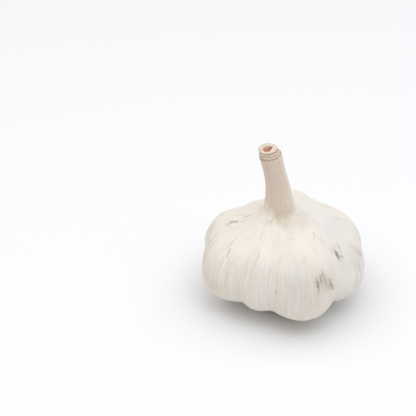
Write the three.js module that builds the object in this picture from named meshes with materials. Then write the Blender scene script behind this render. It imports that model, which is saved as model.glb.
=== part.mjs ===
// A whole garlic bulb: cloves under a tight papery skin, a flat root plate below, and above
// it the leaning neck of dried leaf sheaths, trimmed to a short ringed stub.
//
// Millimetres, +Z up. The origin is the centre of the flat root plate, on the surface that the
// bulb stands on. +X is to the bulb's right and -Y is its front. The bulb grew as one piece, so
// it is one solid.
import * as THREE from "three";

// ---- Driving dimensions ----------------------------------------------------------------------
const PLATE_RADIUS = 8; // the flat root plate that the bulb stands on
const BELLY_RADIUS = 27.5; // mean radius at the widest height
const SHEATH_TOP = 55.9; // height of the torn end of the outer leaf sheath
const SHEATH_RADIUS = 3.65;
const CUT_TOP = 58.3; // height of the cut end of the inner sheath
const CUT_RADIUS = 3.2;
const HOLLOW_RADIUS = 1.45; // mouth of the dry hollow in the middle of the neck
const HOLLOW_DEPTH = 5;
const HOLLOW_TAPER = 0.6; // the hollow's floor, as a share of its mouth

// The neck's line leaves the root plate's axis at the shoulders, then curves as it rises.
const NECK_OFFSET = { x: -1.7, y: -0.8 };
const NECK_OFFSET_FROM = 29; // height at which the rings start to move to that offset,
const NECK_OFFSET_TO = 35; // and height at which they have
const NECK_BEND_FROM = 34.6; // height at which the neck starts to curve
const NECK_BEND = { x: -0.0074, y: -0.0012 }; // sideways travel per height squared, 1/mm

// How far a ring turns with the neck's line: 0 is level and 1 is square to the line.
const LEVEL_UP_TO = 32;
const SQUARE_FROM = 40;
const SQUARE_UP_TO = 48;
const SHEATH_TILT = 0.65; // the torn end is a little nearer to level,
const CUT_TILT = 0.25; // and the cut across the inner sheath is almost level

const AROUND = 88; // facets round the bulb
const STEPS_PER_ROW = 3; // rings between two rows of the profile

// Each clove lies between the valley at its own angle and the next clove's valley. Angles are in
// degrees from +X towards +Y. radius is a share of the profile's; lift raises its shoulder, in
// mm; depth is how deep its first valley is, as a share of the radius.
const CLOVES = [
  { valley: -184, radius: 1.04, lift: -1, depth: 0.15 }, // left
  { valley: -130, radius: 0.91, lift: -0.2, depth: 0.13 }, // front left
  { valley: -102, radius: 1.09, lift: -0.7, depth: 0.14 }, // front
  { valley: -47, radius: 1.03, lift: -0.8, depth: 0.2 }, // right
  { valley: 5, radius: 1.08, lift: -1.5, depth: 0.16 }, // right back
  { valley: 61, radius: 1.04, lift: 1.4, depth: 0.25 }, // back
  { valley: 96, radius: 0.97, lift: -1.1, depth: 0.23 }, // left of the back
  { valley: 133, radius: 1.02, lift: 0, depth: 0.28 }, // left back
].map((clove) => ({ ...clove, valley: THREE.MathUtils.degToRad(clove.valley) }));

// The skin's line from the root plate up to the torn sheath. swell is how far a ring follows the
// cloves' own radii, valley how far it dips between them, soft how rounded the dips are, and
// lift how far it rises with the cloves' shoulders.
const PROFILE = [
  { radius: PLATE_RADIUS, height: 0, swell: 0.2, valley: 0.15, soft: 0.8, lift: 0 },
  { radius: 11, height: 0.5, swell: 0.5, valley: 0.45, soft: 0.5, lift: 0 },
  { radius: 14.8, height: 1.9, swell: 0.8, valley: 0.2, soft: 0.1, lift: 0 },
  { radius: 19.8, height: 4.8, swell: 1, valley: 1.2, soft: 0.2, lift: 0.1 },
  { radius: 25.8, height: 8.7, swell: 1, valley: 0.75, soft: 0.05, lift: 0.25 },
  { radius: BELLY_RADIUS, height: 15.3, swell: 1, valley: 0.5, soft: 0.3, lift: 0.5 },
  { radius: 26.2, height: 21.2, swell: 1, valley: 0.35, soft: 0.7, lift: 0.8 },
  { radius: 22.9, height: 26.1, swell: 0.9, valley: 0.35, soft: 1, lift: 1 },
  { radius: 15.8, height: 29.8, swell: 0.6, valley: 0.25, soft: 1.65, lift: 0.5 },
  { radius: 11.2, height: 31.9, swell: 0.5, valley: 0.12, soft: 0.4, lift: 0.4 },
  { radius: 6, height: 34.6, swell: 0.15, valley: 0.07, soft: 1, lift: 0.25 },
  { radius: 4.7, height: 38.6, swell: 0, valley: 0.04, soft: 1, lift: 0 },
  { radius: 4.05, height: 43.5, swell: 0, valley: 0.03, soft: 1, lift: 0 },
  { radius: 3.6, height: 49.5, swell: 0, valley: 0.03, soft: 1, lift: 0 },
  { radius: SHEATH_RADIUS, height: SHEATH_TOP, swell: 0, valley: 0.02, soft: 1, lift: 0 },
];

// ---- The cloves ------------------------------------------------------------------------------
const TURN = 2 * Math.PI;
const mix = (a, b, share) => a + (b - a) * share;
const spanOf = (index) => {
  const next = CLOVES[(index + 1) % CLOVES.length].valley;
  return next - CLOVES[index].valley + (index + 1 === CLOVES.length ? TURN : 0);
};

// What the cloves do at an angle: bulge is 0 in a valley and 1 at the middle of a clove, and the
// other values pass smoothly from one clove's middle to the next.
function clovesAt(angle) {
  const first = CLOVES[0].valley;
  const turned = first + ((((angle - first) % TURN) + TURN) % TURN);
  const index = CLOVES.findLastIndex((clove) => clove.valley <= turned);
  const along = (turned - CLOVES[index].valley) / spanOf(index);
  const before = along < 0.5 ? (index + CLOVES.length - 1) % CLOVES.length : index;
  const after = (before + 1) % CLOVES.length;
  const width = (spanOf(before) + spanOf(after)) / 2;
  const past = along < 0.5 ? spanOf(before) / 2 + along * spanOf(after) : (along - 0.5) * spanOf(before);
  const share = (1 - Math.cos((Math.PI * past) / width)) / 2;
  return {
    bulge: Math.sin(Math.PI * along),
    radius: mix(CLOVES[before].radius, CLOVES[after].radius, share),
    lift: mix(CLOVES[before].lift, CLOVES[after].lift, share),
    depth: CLOVES[after].depth,
  };
}

// ---- The skin --------------------------------------------------------------------------------
// A Catmull-Rom curve through one column of the profile, the same as THREE.SplineCurve's.
function profileAt(position) {
  const last = PROFILE.length - 1;
  const index = Math.min(Math.floor(position), last - 1);
  const share = position - index;
  const rows = [-1, 0, 1, 2].map((step) => PROFILE[THREE.MathUtils.clamp(index + step, 0, last)]);
  const column = (key) => {
    const [a, b, c, d] = rows.map((row) => row[key]);
    const start = (c - a) / 2;
    const end = (d - b) / 2;
    const cubic = 2 * b - 2 * c + start + end;
    const square = -3 * b + 3 * c - 2 * start - end;
    return ((cubic * share + square) * share + start) * share + b;
  };
  return Object.fromEntries(Object.keys(PROFILE[0]).map((key) => [key, column(key)]));
}

// How far the ring at a height turns with the neck's line.
function ringTilt(height) {
  const { smoothstep } = THREE.MathUtils;
  const square = smoothstep(height, LEVEL_UP_TO, SQUARE_FROM);
  const torn = mix(square, SHEATH_TILT, smoothstep(height, SQUARE_UP_TO, SHEATH_TOP));
  return mix(torn, CUT_TILT, smoothstep(height, SHEATH_TOP, CUT_TOP));
}

// The neck's line at a height, and the two directions that span a ring there.
function neckFrame(height) {
  const offset = THREE.MathUtils.smoothstep(height, NECK_OFFSET_FROM, NECK_OFFSET_TO);
  const rise = Math.max(height - NECK_BEND_FROM, 0);
  const centre = new THREE.Vector3(
    NECK_OFFSET.x * offset + NECK_BEND.x * rise * rise,
    NECK_OFFSET.y * offset + NECK_BEND.y * rise * rise,
    height,
  );
  const slope = 2 * rise * ringTilt(height);
  const up = new THREE.Vector3(NECK_BEND.x * slope, NECK_BEND.y * slope, 1).normalize();
  const right = new THREE.Vector3(1, 0, 0).addScaledVector(up, -up.x).normalize();
  return { centre, right, back: new THREE.Vector3().crossVectors(up, right) };
}

const onRing = (frame, angle, radius) =>
  frame.centre
    .clone()
    .addScaledVector(frame.right, radius * Math.cos(angle))
    .addScaledVector(frame.back, radius * Math.sin(angle));

function skinPoint(angle, position) {
  const row = profileAt(position);
  const cloves = clovesAt(angle);
  const crest = Math.sqrt(1 + row.soft ** 2) - row.soft;
  const bulge = (Math.sqrt(cloves.bulge ** 2 + row.soft ** 2) - row.soft) / crest;
  const swell = 1 + (cloves.radius - 1) * row.swell;
  const dip = 1 - cloves.depth * row.valley * (1 - bulge);
  return onRing(neckFrame(row.height + cloves.lift * row.lift), angle, row.radius * swell * dip);
}

// ---- The solid -------------------------------------------------------------------------------
const ANGLES = Array.from({ length: AROUND }, (_, index) => (index * TURN) / AROUND);
const ringAt = (height, radius) => ANGLES.map((angle) => onRing(neckFrame(height), angle, radius));

function bulbRings() {
  const rings = [];
  const steps = (PROFILE.length - 1) * STEPS_PER_ROW;
  for (let step = 0; step <= steps; step += 1) {
    const position = step / STEPS_PER_ROW;
    rings.push(ANGLES.map((angle) => skinPoint(angle, position)));
  }
  rings.push(ringAt(SHEATH_TOP, CUT_RADIUS)); // the torn sheath's end, in to the inner sheath
  rings.push(ringAt(CUT_TOP, CUT_RADIUS));
  rings.push(ringAt(CUT_TOP, HOLLOW_RADIUS));
  rings.push(ringAt(CUT_TOP - HOLLOW_DEPTH, HOLLOW_RADIUS * HOLLOW_TAPER));
  return rings;
}

// Rings from the bottom up, closed by a fan at each end, make one closed surface facing out.
function closedThrough(rings, bottom, top) {
  const points = [bottom, ...rings.flat(), top];
  const topIndex = points.length - 1;
  const at = (ring, index) => 1 + ring * AROUND + (index % AROUND);
  const faces = [];
  for (let index = 0; index < AROUND; index += 1) {
    faces.push(0, at(0, index + 1), at(0, index));
    faces.push(topIndex, at(rings.length - 1, index), at(rings.length - 1, index + 1));
    for (let ring = 0; ring < rings.length - 1; ring += 1) {
      faces.push(at(ring, index), at(ring, index + 1), at(ring + 1, index + 1));
      faces.push(at(ring, index), at(ring + 1, index + 1), at(ring + 1, index));
    }
  }
  const geometry = new THREE.BufferGeometry().setFromPoints(points);
  geometry.setIndex(faces);
  geometry.computeVertexNormals();
  return geometry;
}

const skin = new THREE.MeshStandardMaterial({ color: 0xe9e1d6, roughness: 0.55, metalness: 0 });

const plateCentre = new THREE.Vector3(0, 0, 0);
const hollowFloor = neckFrame(CUT_TOP - HOLLOW_DEPTH).centre;
const garlicBulb = new THREE.Mesh(closedThrough(bulbRings(), plateCentre, hollowFloor), skin);
garlicBulb.name = "garlic_bulb";

const part = new THREE.Group();
part.add(garlicBulb);

export default part;
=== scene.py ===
"""The looks of a whole garlic bulb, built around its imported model.

Sizes are in millimetres and angles in degrees from +X towards +Y, until a mesh is made in metres.
A place on the skin is an angle and a height, where the height is the mean skin's: the tops of the
cloves lift it a little. The arc is the length along the skin from the root plate's middle.
"""

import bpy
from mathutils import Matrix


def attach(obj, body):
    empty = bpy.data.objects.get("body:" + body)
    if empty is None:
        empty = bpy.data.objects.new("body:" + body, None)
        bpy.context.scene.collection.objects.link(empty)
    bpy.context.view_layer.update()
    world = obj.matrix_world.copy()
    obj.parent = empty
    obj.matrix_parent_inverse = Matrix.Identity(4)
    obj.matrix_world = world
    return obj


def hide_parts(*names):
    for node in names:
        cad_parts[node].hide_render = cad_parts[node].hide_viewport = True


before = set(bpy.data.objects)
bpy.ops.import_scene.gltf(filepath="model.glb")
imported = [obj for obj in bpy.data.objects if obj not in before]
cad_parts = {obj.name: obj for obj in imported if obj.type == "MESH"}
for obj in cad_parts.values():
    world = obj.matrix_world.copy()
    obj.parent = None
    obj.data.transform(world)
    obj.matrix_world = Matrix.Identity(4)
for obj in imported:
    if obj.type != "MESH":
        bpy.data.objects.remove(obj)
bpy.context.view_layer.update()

import math

import bmesh
import bpy
import numpy as np

MM = 0.001

# ---- The bulb's shape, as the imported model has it
PLATE_RADIUS = 8
BELLY_RADIUS = 27.5
SHEATH_TOP = 55.9
SHEATH_RADIUS = 3.65
CUT_TOP = 58.3
NECK_OFFSET = np.array([-1.7, -0.8])
NECK_OFFSET_HEIGHTS = (29, 35)
NECK_BEND = np.array([-0.0074, -0.0012])
NECK_BEND_FROM = 34.6
LEVEL_UP_TO = 32
SQUARE_FROM = 40
SQUARE_UP_TO = 48
SHEATH_TILT = 0.65
CUT_TILT = 0.25
NECK_END_FORWARD = 1.47  # how far in front of the origin the neck ends
END_LIFT = 0.28  # the looks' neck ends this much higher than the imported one's,
END_SLOPE = 0.06  # and higher at its back by this share of the distance behind its middle
END_LIFT_HEIGHTS = (51, 56)  # where that starts, and where it is full

# Each clove's first valley, share of the profile's radius, lift of its shoulder, and depth of
# that valley.
CLOVES = np.array([
    (-184, 1.04, -1, 0.15), (-130, 0.91, -0.2, 0.13), (-102, 1.09, -0.7, 0.14),
    (-47, 1.03, -0.8, 0.2), (5, 1.08, -1.5, 0.16), (61, 1.04, 1.4, 0.25), (96, 0.97, -1.1, 0.23),
    (133, 1.02, 0, 0.28),
])
# The skin's line from the root plate to the torn sheath: radius, height, how far the ring follows
# the cloves' radii, how far it dips between them, how rounded the dips are, how far it lifts.
PROFILE = np.array([
    (PLATE_RADIUS, 0, 0.2, 0.15, 0.8, 0),
    (11, 0.5, 0.5, 0.45, 0.5, 0),
    (14.8, 1.9, 0.8, 0.2, 0.1, 0),
    (19.8, 4.8, 1, 1.2, 0.2, 0.1),
    (25.8, 8.7, 1, 0.75, 0.05, 0.25),
    (BELLY_RADIUS, 15.3, 1, 0.5, 0.3, 0.5),
    (26.2, 21.2, 1, 0.35, 0.7, 0.8),
    (22.9, 26.1, 0.9, 0.35, 1, 1),
    (15.8, 29.8, 0.6, 0.25, 1.65, 0.5),
    (11.2, 31.9, 0.5, 0.12, 0.4, 0.4),
    (6, 34.6, 0.15, 0.07, 1, 0.25),
    (4.7, 38.6, 0, 0.04, 1, 0),
    (4.05, 43.5, 0, 0.03, 1, 0),
    (3.6, 49.5, 0, 0.03, 1, 0),
    (SHEATH_RADIUS, SHEATH_TOP, 0, 0.02, 1, 0),
])


def smoothstep(value, low, high):
    share = np.clip((value - low) / (high - low), 0, 1)
    return share * share * (3 - 2 * share)


def mix(a, b, share):
    return a + (b - a) * share


def cloves_at(angle):
    """The bulge, 0 in a valley and 1 at a clove's middle, and the radius, lift and depth."""
    valley, radius, lift, depth = CLOVES.T
    count = len(valley)
    span = np.diff(np.append(valley, valley[0] + 360))
    turned = valley[0] + np.mod(angle - valley[0], 360)
    index = np.searchsorted(valley, turned, side="right") - 1
    along = (turned - valley[index]) / span[index]
    late = along >= 0.5
    before = np.where(late, index, (index - 1) % count)
    after = (before + 1) % count
    width = (span[before] + span[after]) / 2
    past = np.where(late, (along - 0.5) * span[before], span[before] / 2 + along * span[after])
    share = (1 - np.cos(np.pi * past / width)) / 2
    passing = [mix(values[before], values[after], share) for values in (radius, lift)]
    return np.sin(np.pi * along), *passing, depth[after]


def profile_at(position):
    """The profile's columns at a position, counted in rows, by a Catmull-Rom curve."""
    last = len(PROFILE) - 1
    index = np.minimum(np.floor(position).astype(int), last - 1)
    share = (position - index)[..., None]
    a, b, c, d = (PROFILE[np.clip(index + step, 0, last)] for step in (-1, 0, 1, 2))
    start, end = (c - a) / 2, (d - b) / 2
    rows = ((2 * b - 2 * c + start + end) * share + (3 * c - 3 * b - 2 * start - end)) * share + start
    return np.moveaxis(rows * share + b, -1, 0)


def neck_frame(height):
    """The middle of the ring at a height, and the two directions that span it."""
    offset = smoothstep(height, *NECK_OFFSET_HEIGHTS)[..., None]
    rise = np.maximum(height - NECK_BEND_FROM, 0)[..., None]
    centre = np.concatenate([NECK_OFFSET * offset + NECK_BEND * rise**2, height[..., None]], axis=-1)
    square = smoothstep(height, LEVEL_UP_TO, SQUARE_FROM)
    torn = mix(square, SHEATH_TILT, smoothstep(height, SQUARE_UP_TO, SHEATH_TOP))
    tilt = mix(torn, CUT_TILT, smoothstep(height, SHEATH_TOP, CUT_TOP))
    up = np.concatenate([2 * NECK_BEND * rise * tilt[..., None], np.ones_like(rise)], axis=-1)
    up /= np.linalg.norm(up, axis=-1, keepdims=True)
    right = np.array([1, 0, 0]) - up * up[..., :1]
    right /= np.linalg.norm(right, axis=-1, keepdims=True)
    return centre, right, np.cross(up, right)


def lift_end(points):
    """Raises the last few millimetres of the neck a little, and its back the most."""
    behind = points[..., 1] + NECK_END_FORWARD
    points[..., 2] += (END_LIFT + END_SLOPE * behind) * smoothstep(points[..., 2], *END_LIFT_HEIGHTS)
    return points


def on_ring(height, angle, radius):
    centre, right, back = neck_frame(height)
    turn = np.radians(angle)[..., None]
    return centre + radius[..., None] * (right * np.cos(turn) + back * np.sin(turn))


def skin_points(angle, position):
    radius, height, swell, valley, soft, lift = profile_at(position)
    bulge, clove_radius, clove_lift, depth = cloves_at(angle)
    crest = np.sqrt(1 + soft**2) - soft
    rounded = (np.sqrt(bulge**2 + soft**2) - soft) / crest
    ring = radius * (1 + (clove_radius - 1) * swell) * (1 - depth * valley * (1 - rounded))
    return on_ring(height + clove_lift * lift, angle, ring)


# Tables that turn an arc or a mean height into a position in the profile.
POSITIONS = np.linspace(0, len(PROFILE) - 1, 1400)
MEAN_RADII, MEAN_HEIGHTS = profile_at(POSITIONS)[:2]
ARCS = PLATE_RADIUS + np.append(0, np.cumsum(np.hypot(np.diff(MEAN_RADII), np.diff(MEAN_HEIGHTS))))
ARC_TOP = ARCS[-1]


def arc_of(height):
    return np.interp(height, MEAN_HEIGHTS, ARCS)


# ---- Noise
NOISE_ROWS = 256  # cells along it before it repeats


def noise(angle, along, cells, seed):
    """Smooth noise from -1 to 1 that closes round the bulb after a number of cells."""
    table = np.random.default_rng(seed).uniform(-1, 1, (NOISE_ROWS, cells))
    across = angle / 360 * cells
    column, row = np.floor(across).astype(int), np.floor(along).astype(int)
    u, v = smoothstep(across - column, 0, 1), smoothstep(along - row, 0, 1)
    corner = [table[(row + j) % NOISE_ROWS, (column + i) % cells] for j in (0, 1) for i in (0, 1)]
    return mix(mix(corner[0], corner[1], u), mix(corner[2], corner[3], u), v)


def grown(angle, along, *textures):
    """A sum of noises. Each texture is a height, cells round the bulb, a cell's length and a seed."""
    return sum(height * noise(angle, along / length, cells, seed) for height, cells, length, seed in textures)


# ---- Places on the skin
def degree_size(arc):
    """Millimetres round the skin for one degree."""
    return np.radians(np.interp(arc, ARCS, MEAN_RADII))


def along_line(angle, arc, line, width):
    """1 on a line of (angle, height) points, falling to 0 at a width beside it."""
    size = degree_size(arc)
    nearest = np.full(np.broadcast(angle, arc).shape, np.inf)
    for (angle_a, height_a), (angle_b, height_b) in zip(line[:-1], line[1:]):
        arc_a, arc_b = arc_of(height_a), arc_of(height_b)
        across = (np.mod(angle - angle_a + 180, 360) - 180) * size
        along = arc - arc_a
        run, rise = (angle_b - angle_a) * size, arc_b - arc_a
        share = np.clip((across * run + along * rise) / (run**2 + rise**2), 0, 1)
        nearest = np.minimum(nearest, np.hypot(across - share * run, along - share * rise))
    return smoothstep(nearest, width, 0)


def summed(angle, arc, rows):
    """The sum of rows, each of which is a strength, a width and the points of a line."""
    return sum(strength * along_line(angle, arc, line, width) for strength, width, *line in rows)


def strongest(angle, arc, rows):
    """The strongest of such rows at each place."""
    return np.maximum.reduce([summed(angle, arc, [row]) for row in rows])


# Creases and folds of the outer leaf: how far they stand out, their width, and their line's points.
FOLDS = [
    (0.3, 1.3, (170, 28.2), (171.5, 28.9), (173.5, 29.5), (176.5, 30.2)),
    (0.4, 1.2, (-177, 28.8), (-171, 29.5), (-166, 30.4)),
    (-0.1, 0.5, (166, 28.7), (168.5, 29.9), (172.2, 31.1)),
    (-0.24, 0.6, (182.5, 30.2), (179.2, 30.5), (178, 31.3), (178.3, 31.9), (179.4, 32.4)),
    (-0.2, 0.6, (179.4, 32.4), (177.2, 33), (175, 33.8), (179.5, 34.8)),
    (0.16, 0.9, (183.5, 31.2), (183, 32.2), (182, 33.2)),
    (-0.14, 0.6, (-173, 30.4), (-171.8, 31.5), (-169.8, 32.6), (-166.8, 33.7)),
    (0.1, 0.8, (-171.5, 31.2), (-169.5, 32.3), (-167, 33.4)),
    (-0.1, 0.7, (-120.5, 28.1), (-117, 27.5), (-117, 26.3), (-118.2, 24), (-119, 21.6), (-119.2, 17)),
    (0.09, 0.8, (-118.6, 28.4), (-119.6, 26), (-121.2, 22), (-122.2, 17)),
    (-0.08, 0.7, (-123, 27.8), (-124.5, 26.7), (-126, 23.5), (-127.5, 17)),
    (0.09, 1, (-113.5, 28.4), (-114.2, 25), (-115.5, 20)),
    (-0.08, 0.8, (-130.8, 23.5), (-131.5, 19.7), (-132.5, 15)),
    (-0.1, 0.7, (-146.2, 26.9), (-145.2, 26.3), (-144, 25.4), (-140.5, 24), (-139.8, 22.1), (-138.5, 19)),
    (-0.09, 0.6, (-151.5, 28.9), (-151.8, 28.5), (-150.5, 28), (-150, 27.6), (-148.8, 27), (-147.5, 26.4)),
    (0.1, 1.1, (-156, 27.5), (-158.5, 25), (-161.5, 20.5), (-163, 15)),
    (-0.08, 0.8, (-156.2, 20.9), (-156.5, 19.3), (-156, 16.8)),
    (-0.14, 0.9, (-178, 26.6), (-174.8, 25.5), (-172.8, 24.6), (-173.5, 23.1), (-173.6, 21)),
    (-0.12, 0.8, (175, 22.8), (177.8, 21.7), (180, 20.6)), (0.1, 1, (-168, 27), (-168.5, 24), (-169.5, 20)),
    (-0.07, 0.8, (-76.5, 27.6), (-73.5, 27.6), (-71.5, 28.6)),
    (0.06, 1.2, (-100, 27), (-90, 26.8), (-80, 26.9), (-68, 27.3)),
    (-0.12, 0.8, (-37.5, 27.3), (-39.5, 26.6), (-41, 25)),
    (-0.07, 0.7, (-31.5, 27.6), (-33.2, 26.6), (-35, 26)),
    (-0.1, 0.8, (-15.8, 23.6), (-16, 21.4), (-15, 19.5)), (0.08, 1, (-20.5, 25.8), (-19.5, 24), (-18.8, 21)),
    (-0.07, 0.7, (-42.5, 30), (-41, 29.5), (-41.5, 28.8)),
    (0.07, 1, (-44, 33), (-45, 31), (-46, 29), (-51, 26), (-53.5, 20), (-52, 14)),
    (-0.09, 0.8, (14.2, 28.9), (16, 27.8), (15, 26.5)),
    (-0.1, 0.5, (-122.8, 33.4), (-117.8, 33.7), (-112, 34.1)),
    (-0.1, 0.5, (-109.2, 34.6), (-102.5, 34.9), (-96.2, 35.4)), (-0.09, 0.5, (-128.8, 34.5), (-117.5, 35.3)),
    (-0.1, 0.5, (-45, 34.5), (-49, 34.1), (-54, 33.6)), (0.08, 0.7, (-62, 33.8), (-60, 32.5), (-59, 31.2)),
    (-0.09, 0.6, (-80, 33.4), (-79, 32.2), (-78.5, 31)), (-0.1, 0.8, (72, 27), (74, 23), (75.5, 17)),
    (0.1, 1.1, (84, 28), (85, 23.5), (86.5, 17)), (-0.09, 0.8, (108, 28.5), (110, 25), (112, 20)),
    (-0.09, 0.8, (38, 27), (36.5, 23), (35.5, 18)),
]
# The textures of the skin's fibres, and the heights between which the neck's take over.
WANDER = (1.2, 36, 11, 1)  # degrees that the fibres stray sideways
RIBS = (0.035, 150, 25, 2)
RIDGES = (0.06, 62, 16, 5)
CRUMPLE = (0.1, 28, 6, 4)
NECK_RIBS = (0.06, 48, 14, 3)
NECK_RIDGES = (0.08, 17, 9, 6)
NECK_RIB_HEIGHTS = (31, 36)
PLEATS = (0.24, 52, 3, 7)
PLEAT_HEIGHTS = (31.8, 34.2, 38)  # where the neck's foot starts to be pleated, is most so, and ends


def skin_relief(angle, arc):
    """How far the papery skin's fibres, ribs and wrinkles stand out."""
    wander = angle + grown(angle, arc, WANDER)
    body = grown(wander, arc, RIBS, RIDGES) + grown(angle, arc, CRUMPLE)
    neck = grown(wander, arc, NECK_RIBS) + grown(angle, arc, NECK_RIDGES)
    low, deepest, high = map(arc_of, PLEAT_HEIGHTS)
    pleats = grown(wander, arc, PLEATS) * smoothstep(arc, low, deepest) * smoothstep(arc, high, deepest)
    return mix(body, neck, smoothstep(arc, *map(arc_of, NECK_RIB_HEIGHTS))) + pleats


# ---- Meshes
MERGE_DISTANCE = 1e-7  # metres: points nearer than this are one
FLOOR_GAP = 0.02  # the skins come no nearer to the floor
NORMAL_STEP, NORMAL_TURN = 0.01, 0.2  # profile rows and degrees to each side, for a normal


def add_object(name, data):
    made = bpy.data.objects.new(name, data)
    bpy.context.scene.collection.objects.link(made)
    return made


def make_mesh(name, points, faces, attributes, material):
    """A smooth mesh in metres from points in millimetres, with float or vector attributes."""
    mesh = bpy.data.meshes.new(name)
    mesh.from_pydata((points.reshape(-1, 3) * MM).tolist(), [], faces)
    for key, values in attributes.items():
        vector = values.ndim == points.ndim
        made = mesh.attributes.new(key, "FLOAT_VECTOR" if vector else "FLOAT", "POINT")
        made.data.foreach_set("vector" if vector else "value", values.astype(np.float32).ravel())
    welded = bmesh.new()
    welded.from_mesh(mesh)
    bmesh.ops.remove_doubles(welded, verts=welded.verts, dist=MERGE_DISTANCE)
    welded.to_mesh(mesh)
    welded.free()
    mesh.shade_smooth()
    mesh.materials.append(material)
    return add_object(name, mesh)


def around_axis(radius, angle, height):
    """Points round the root plate's own axis."""
    turn = np.radians(angle)
    return np.stack([radius * np.cos(turn), radius * np.sin(turn), height], axis=-1)


def angles_round(count):
    return np.arange(count)[None] * 360 / count


def grid_faces(grid, closed=False):
    """Quads between neighbouring rows of a grid of points, facing out."""
    rows, columns = grid.shape[:2]
    index = np.arange(rows * columns).reshape(rows, columns)
    if closed:
        index = np.concatenate([index, index[:, :1]], axis=1)
    corners = [index[:-1, :-1], index[:-1, 1:], index[1:, 1:], index[1:, :-1]]
    return np.stack(corners, axis=-1).reshape(-1, 4).tolist()


def on_skin(angle, arc, out):
    """Points at a distance out from the bulb's own surface."""
    position = np.interp(arc, ARCS, POSITIONS)
    low = np.maximum(position - NORMAL_STEP, 0)
    high = np.minimum(position + NORMAL_STEP, POSITIONS[-1])
    across = skin_points(angle + NORMAL_TURN, position) - skin_points(angle - NORMAL_TURN, position)
    normal = np.cross(across, skin_points(angle, high) - skin_points(angle, low))
    normal /= np.linalg.norm(normal, axis=-1, keepdims=True)
    points = skin_points(angle, position) + normal * out[..., None]
    points[..., 2] = np.maximum(points[..., 2], FLOOR_GAP)
    return points


# ---- What the skin's materials read
# Where the warm, veined side of the leaf passes into its smooth grey one, to the right: height, angle.
WARM_EDGE = [(0, -48), (13, -50.5), (19, -53), (26, -48.5), (29, -37), (31, -36), (32.3, -24),
             (33.5, -8), (34.8, -28), (36, -40), (60, -40)]
WARM_EDGE_STRAY = (6, 30, 4, 21)
GREY_FROM = (-16, 14)  # degrees past that edge over which the skin turns grey,
GREY_UP_TO = (110, 50)  # and over which, at the back, it turns warm again
GREYNESS = 0.76
# Where the neck's browner sheaths show from under the pale skin, all round: angle and height.
NECK_FOOT = [(-190, 37.6), (-150, 38), (-127, 37.6), (-110, 36.3), (-91, 33.9), (-77, 32.8),
             (-66, 33.8), (-55, 34.6), (-30, 35), (60, 35.4), (120, 36.2), (170, 37.6)]
NECK_FOOT_STRAY = (0.7, 30, 5, 22)
NECK_FOOT_EASE = (-1.6, 1.7)  # millimetres above it over which the neck's colour sets in
VEIN_HEIGHTS = (29.5, 24)  # going down, the veins reach their full strength between these,
UPPER_VEINS = 0.3  # from this share of it
GREY_VEINS, BACK_VEINS = 0.4, 0.7  # their share of it on the grey side and at the back
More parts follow.
